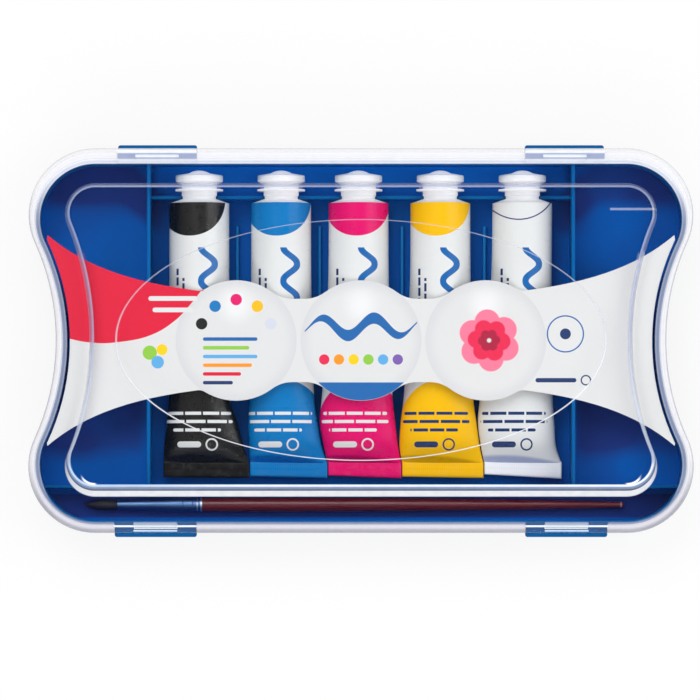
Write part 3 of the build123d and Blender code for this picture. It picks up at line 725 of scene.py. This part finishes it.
def crimp_piece(name, tube_x):
    """The tail's double fold: a flat strip with soft edges, over the end of the tube."""
    shift, widening = SHAPES[name][-1]
    half_width, slant = TUBE_RADIUS + widening, SLANTS[name]
    low, high = box_mm(f"tube_{name}_body")
    front_y, rear_y = low.y, low.y + CRIMP_LENGTH + CRIMP_LAP
    middle_z = high.z - TUBE_RADIUS - TAIL_SAG * (TUBE_RADIUS - TAIL_HALF)
    across, along = 96, 14
    points, faces = [], []
    for side in (1, -1):
        for i in range(along + 1):
            share = i / along
            for j in range(across + 1):
                edge = 2 * j / across - 1
                front = front_y + slant * (0.5 - 0.9 * edge)
                y = rear_y - share * (rear_y - front)
                rim = smooth(1 - share / ROUND_ALONG) + smooth(1 - (1 - share) / ROUND_ALONG)
                rim += smooth(1 - (1 - abs(edge)) / ROUND_ACROSS)
                lap = 0.1 if share < 0.5 else 0.0
                wave = 0.1 * sin(2.6 * edge + len(name))
                height = TAIL_HALF + lap - ROUND_DEPTH * min(rim, 1.0)
                points.append((tube_x + shift + edge * half_width, y, middle_z + side * height + wave))
    row = across + 1
    layer = (along + 1) * row
    for i in range(along):
        for j in range(across):
            a = i * row + j
            faces.append((a, a + row, a + row + 1, a + 1))
            faces.append((layer + a, layer + a + 1, layer + a + row + 1, layer + a + row))
        for j, flip in ((0, False), (across, True)):
            a = i * row + j
            quad = (a, layer + a, layer + a + row, a + row)
            faces.append(quad[::-1] if flip else quad)
    for j in range(across):
        a = along * row + j
        faces.append((a, layer + a, layer + a + 1, a + 1))
        faces.append((j, j + 1, layer + j + 1, layer + j))
    return mesh_piece(f"{name}_tube_crimp", points, faces, "tray")


def crimp_print(name):
    """The crimp's ink, slightly worn, with fine ticks pressed across it."""
    s = Surface(f"{name}_crimp_print")
    ink = srgb(236, 238, 243) if name == "white" else INKS[name]
    worn = s.times(s.ramp(s.noise(0.5, 3.0), 0.45, 0.75), 0.025)
    ticks = s.math("SINE", s.times(s.x, tau / 0.7))
    s.principled(
        Base_Color=s.mix(worn, ink, WHITE_PRINT),
        Roughness=s.ramp(s.noise(0.8), 0.3, 0.7, 0.28, 0.4),
        Normal=s.bump(ticks, 0.2, 0.05),
        Specular_IOR_Level=0.16,
    )
    return s


# ---------------------------------------------------------------- label
DISC_X = (-45.8, 0.0, 45.8)
WING_END_X, SWOOSH_END_X = -110.0, -56.0


def card_colour(s):
    """The card's white, with three discs that have a faint grey rim and a soft light near the top."""
    colour = s.mix(s.noise(0.02), srgb(214, 215, 215), srgb(222, 222, 222))
    for x in DISC_X:
        far = s.flat(x, 0.0)
        inside = s.below(far, 22.2, 0.05)
        rim = s.ramp(far, 17.0, 22.2, 0.0, 0.16)
        colour = s.mix(s.times(rim, inside), colour, srgb(150, 156, 176))
        light = s.ramp(s.flat(x, 13.0), 1.0, 9.0, 0.8, 0.0)
        colour = s.mix(s.times(light, inside), colour, (0.83, 0.83, 0.84, 1))
    return colour


def swoosh_mask(s):
    """The red swoosh on the left wing: all that lies over a curve."""
    edge = [(WING_END_X, 1.5), (-98.0, -0.9), (-88.0, -0.5), (-77.0, 2.0)]
    edge += [(-68.0, 7.5), (-62.8, 13.0), (-58.7, 18.2)]
    low_y, high_y = -10.0, 30.0
    length, height = SWOOSH_END_X - WING_END_X, high_y - low_y
    node = s.add("ShaderNodeFloatCurve")
    curve = node.mapping.curves[0]
    while len(curve.points) < len(edge):
        curve.points.new(0.5, 0.5)
    for point, (x, y) in zip(curve.points, edge):
        point.location = ((x - WING_END_X) / length, (y - low_y) / height)
    node.mapping.extend = "HORIZONTAL"
    node.mapping.update()
    s.feed(node.inputs["Value"], s.ratio(s.minus(s.x, WING_END_X), length))
    edge_y = s.plus(low_y, s.times(node.outputs[0], height))
    return s.times(s.below(s.minus(edge_y, s.y), 0.0), s.below(s.x, -57.8))


def left_disc(s, colour):
    """Five paint dots in an arc over plain bars."""
    for k, name in enumerate(TUBES):
        turn = radians(160 - 35 * k)
        ink = INKS[name] if name != "white" else srgb(205, 210, 222)
        dot = s.disc(DISC_X[0] + 13.5 * cos(turn), 1.5 + 13.5 * sin(turn), 2.1)
        colour = s.mix(dot, colour, ink)
    top_y, pitch, start_x = 0.5, 3.2, -58.0
    lengths = (20.0, 17.0, 20.0, 18.0, 14.0, 11.0)
    inks = (BLUE_PRINT, LEAF_PRINT, SKY_PRINT, ORANGE_PRINT, RED_PRINT, NAVY_PRINT)
    for k, (length, ink) in enumerate(zip(lengths, inks)):
        colour = s.mix(s.bar(start_x + length / 2, top_y - pitch * k, length, 1.3), colour, ink)
    return colour


def centre_disc(s, colour):
    """A blue brush wave over a row of dots, and a blue segment at the foot."""
    colour = s.mix(s.times(s.disc(0.0, 0.0, 22.0), s.below(s.y, -15.4)), colour, BLUE_PRINT)
    wave = s.times(s.math("SINE", s.times(s.x, tau / 19.0)), 3.2)
    off = s.size(s.minus(s.y, 5.0, wave))
    thick = s.ramp(s.size(s.x), 8.0, 21.0, 2.1, 0.3)
    stroke = s.times(s.below(off, thick), s.below(s.size(s.x), 20.6))
    colour = s.mix(stroke, colour, BLUE_PRINT)
    inks = (ROSE_PRINT, ORANGE_PRINT, SUN_PRINT, LEAF_PRINT, SKY_PRINT, srgb(120, 90, 170))
    for k, ink in enumerate(inks):
        colour = s.mix(s.disc(-13.5 + 5.4 * k, -7.0, 1.9), colour, ink)
    return colour


def right_disc(s, colour):
    """A plain rosette: three rounds of six petals, each smaller than the last."""
    middle_x, petals = 47.0, 6
    for reach, ink in ((9.0, srgb(244, 120, 150)), (6.2, ROSE_PRINT), (3.2, srgb(170, 20, 60))):
        out, radius = reach * 0.75, reach * 0.52
        for k in range(petals):
            turn = tau * k / petals + reach
            petal = s.disc(middle_x + out * cos(turn), out * sin(turn), radius, 0.25)
            colour = s.mix(petal, colour, ink)
    return colour


def wings(s, colour):
    """Right wing: a ring round a dot, and a bar beside a small ring; left wing: three dots."""
    colour = s.mix(s.ring(75.0, 2.4, 6.6, 0.5), colour, BLUE_PRINT)
    colour = s.mix(s.disc(75.0, 2.4, 2.0), colour, NAVY_PRINT)
    colour = s.mix(s.bar(71.5, -14.6, 15.0, 1.6), colour, NAVY_PRINT)
    colour = s.mix(s.ring(82.5, -14.6, 1.7, 0.5), colour, NAVY_PRINT)
    dots = ((-77.5, -4.5, 2.6, LEAF_PRINT), (-73.0, -3.4, 2.0, SUN_PRINT), (-74.6, -8.0, 2.3, SKY_PRINT))
    for x, y, radius, ink in dots:
        colour = s.mix(s.disc(x, y, radius), colour, ink)
    return colour


def label_print():
    s = Surface("label_print")
    colour = s.mix(swoosh_mask(s), card_colour(s), RED_PRINT)
    for y, length in ((15.4, 18.0), (11.2, 15.0)):
        colour = s.mix(s.bar(-69.0, y, length, 1.7), colour, WHITE_PRINT)
    for part in (left_disc, centre_disc, right_disc, wings):
        colour = part(s, colour)
    s.principled(
        Base_Color=colour,
        Roughness=s.ramp(s.noise(1.5), 0.3, 0.7, 0.28, 0.4),
        Normal=s.bump(s.noise(0.25), 0.2, 0.1),
        Specular_IOR_Level=0.4,
    )
    return s


# ---------------------------------------------------------------- brush
def lacquer():
    """Dark red lacquer with streaks along the handle and a pale ring near its end."""
    s = Surface("handle_lacquer")
    grain = s.vector("MULTIPLY", s.place, (0.08, 1.6, 1.6))
    streaks = s.noise(1.0, 4.0, 0.6, grain)
    colour = s.mix(streaks, srgb(84, 20, 34), srgb(128, 34, 46))
    colour = s.mix(s.band(s.x, 95.9, 96.3, 0.08), colour, srgb(206, 150, 160))
    roughness = s.ramp(streaks, 0.3, 0.7, 0.24, 0.36)
    s.principled(Base_Color=colour, Roughness=roughness, Coat_Weight=0.35, Coat_Roughness=0.16)
    return s


def ferrule_metal():
    """Drawn metal tinted blue as painted reflection of the blue tray, with painted highlights on two rings
    where it is crimped.
    """
    s = Surface("ferrule_metal")
    drawn = s.noise(1.0, 3.0, 0.6, s.vector("MULTIPLY", s.place, (0.05, 4.0, 4.0)))
    # painted highlights on the two crimped rings
    crimp_highlights = s.most(s.band(s.x, -60.6, -60.2, 0.1), s.band(s.x, -59.3, -58.6, 0.1))
    # the blue in the metal's colour is painted reflection of the tray
    metal_with_painted_reflection = s.mix(drawn, srgb(84, 120, 172), srgb(122, 156, 204))
    s.principled(
        Base_Color=s.mix(crimp_highlights, metal_with_painted_reflection, srgb(236, 240, 248)),
        Metallic=1.0,
        Roughness=s.ramp(drawn, 0.3, 0.7, 0.34, 0.48),
        Normal=s.bump(drawn, 0.2, 0.03),
    )
    return s


def hair():
    """Dark bristles, drawn out along the brush."""
    s = Surface("brush_hair")
    strands = s.noise(1.0, 3.0, 0.7, s.vector("MULTIPLY", s.place, (0.15, 7.0, 7.0)))
    s.principled(
        Base_Color=s.mix(strands, srgb(18, 17, 30), srgb(40, 38, 58)),
        Roughness=s.ramp(strands, 0.3, 0.7, 0.4, 0.6),
        Normal=s.bump(strands, 0.8, 0.15),
    )
    return s


# ---------------------------------------------------------------- building
dress(nodes["tray"], tray_plastic())
dress(nodes["lid"], clear_plastic())
dress(nodes["label"], label_print())
white = white_plastic()
for seed, name in enumerate(TUBES):
    low, high = box_mm(f"tube_{name}_cap")
    tube(name, (low.x + high.x) / 2, seed)
    dress(nodes[f"tube_{name}_nozzle"], white)
    dress(nodes[f"tube_{name}_cap"], white)
dress(nodes["brush_handle"], lacquer())
dress(nodes["brush_ferrule"], ferrule_metal())
dress(nodes["brush_bristles"], hair())


# ---------------------------------------------------------------- studio
def plane(name, size, z):
    """A square flat piece, in metres."""
    half = size / 2
    mesh = bpy.data.meshes.new(name)
    corners = [(-half, -half, z), (half, -half, z), (half, half, z), (-half, half, z)]
    mesh.from_pydata(corners, [], [(0, 1, 2, 3)])
    piece = bpy.data.objects.new(name, mesh)
    bpy.context.scene.collection.objects.link(piece)
    return piece


def softbox(name, place, width, depth, power):
    """A rectangular lamp that looks at the middle of the scene; sizes in metres, power in watts."""
    light = bpy.data.lights.new(name, "AREA")
    light.shape = "RECTANGLE"
    light.size, light.size_y = width, depth
    light.energy = power
    lamp = bpy.data.objects.new(name, light)
    lamp.location = place
    lamp.rotation_euler = (-Vector(place)).to_track_quat("-Z", "Y").to_euler()
    bpy.context.scene.collection.objects.link(lamp)


floor = plane("studio_floor", 6.0, -0.0002)
floor.data.materials.append(floor_material().material)

softbox("key_rear_left", (-0.35, 0.65, 1.2), 1.0, 0.8, 8.0)
softbox("fill_right", (1.1, 0.1, 0.9), 0.8, 1.2, 7.4)
softbox("fill_front", (-0.2, -1.2, 0.9), 1.4, 0.6, 9.4)

world = bpy.data.worlds.new("studio")
world.use_nodes = True
sky = world.node_tree.nodes["Background"]
sky.inputs["Color"].default_value = (1, 1, 1, 1)
sky.inputs["Strength"].default_value = 0.54
bpy.context.scene.world = world
bpy.context.scene.view_settings.view_transform = "Standard"

# ---------------------------------------------------------------- camera
ELEVATION = 88.2
SCALE = 0.367  # millimetres of the object for a pixel of the picture
CENTRE = Vector((361.0, 340.5))  # the box's middle in the picture, in pixels
PICTURE = 700.0  # the picture's width and height, in pixels
AIM_Z = 22.5
DISTANCE = 2500.0
camera_data = bpy.data.cameras.new("camera")
camera = bpy.data.objects.new("camera", camera_data)
bpy.context.scene.collection.objects.link(camera)
bpy.context.scene.camera = camera
tilt = radians(ELEVATION)
across = (PICTURE / 2 - CENTRE.x) * SCALE
upward = (CENTRE.y - PICTURE / 2) * SCALE
target = Vector((across, upward / sin(tilt), AIM_Z))
camera.location = (target + Vector((0, -cos(tilt), sin(tilt))) * DISTANCE) * MM
camera.rotation_euler = (radians(90) - tilt, 0, 0)
camera_data.sensor_width = 36.0
camera_data.angle = 2 * atan(PICTURE * SCALE / 2 / DISTANCE)
camera_data.clip_end = 20.0
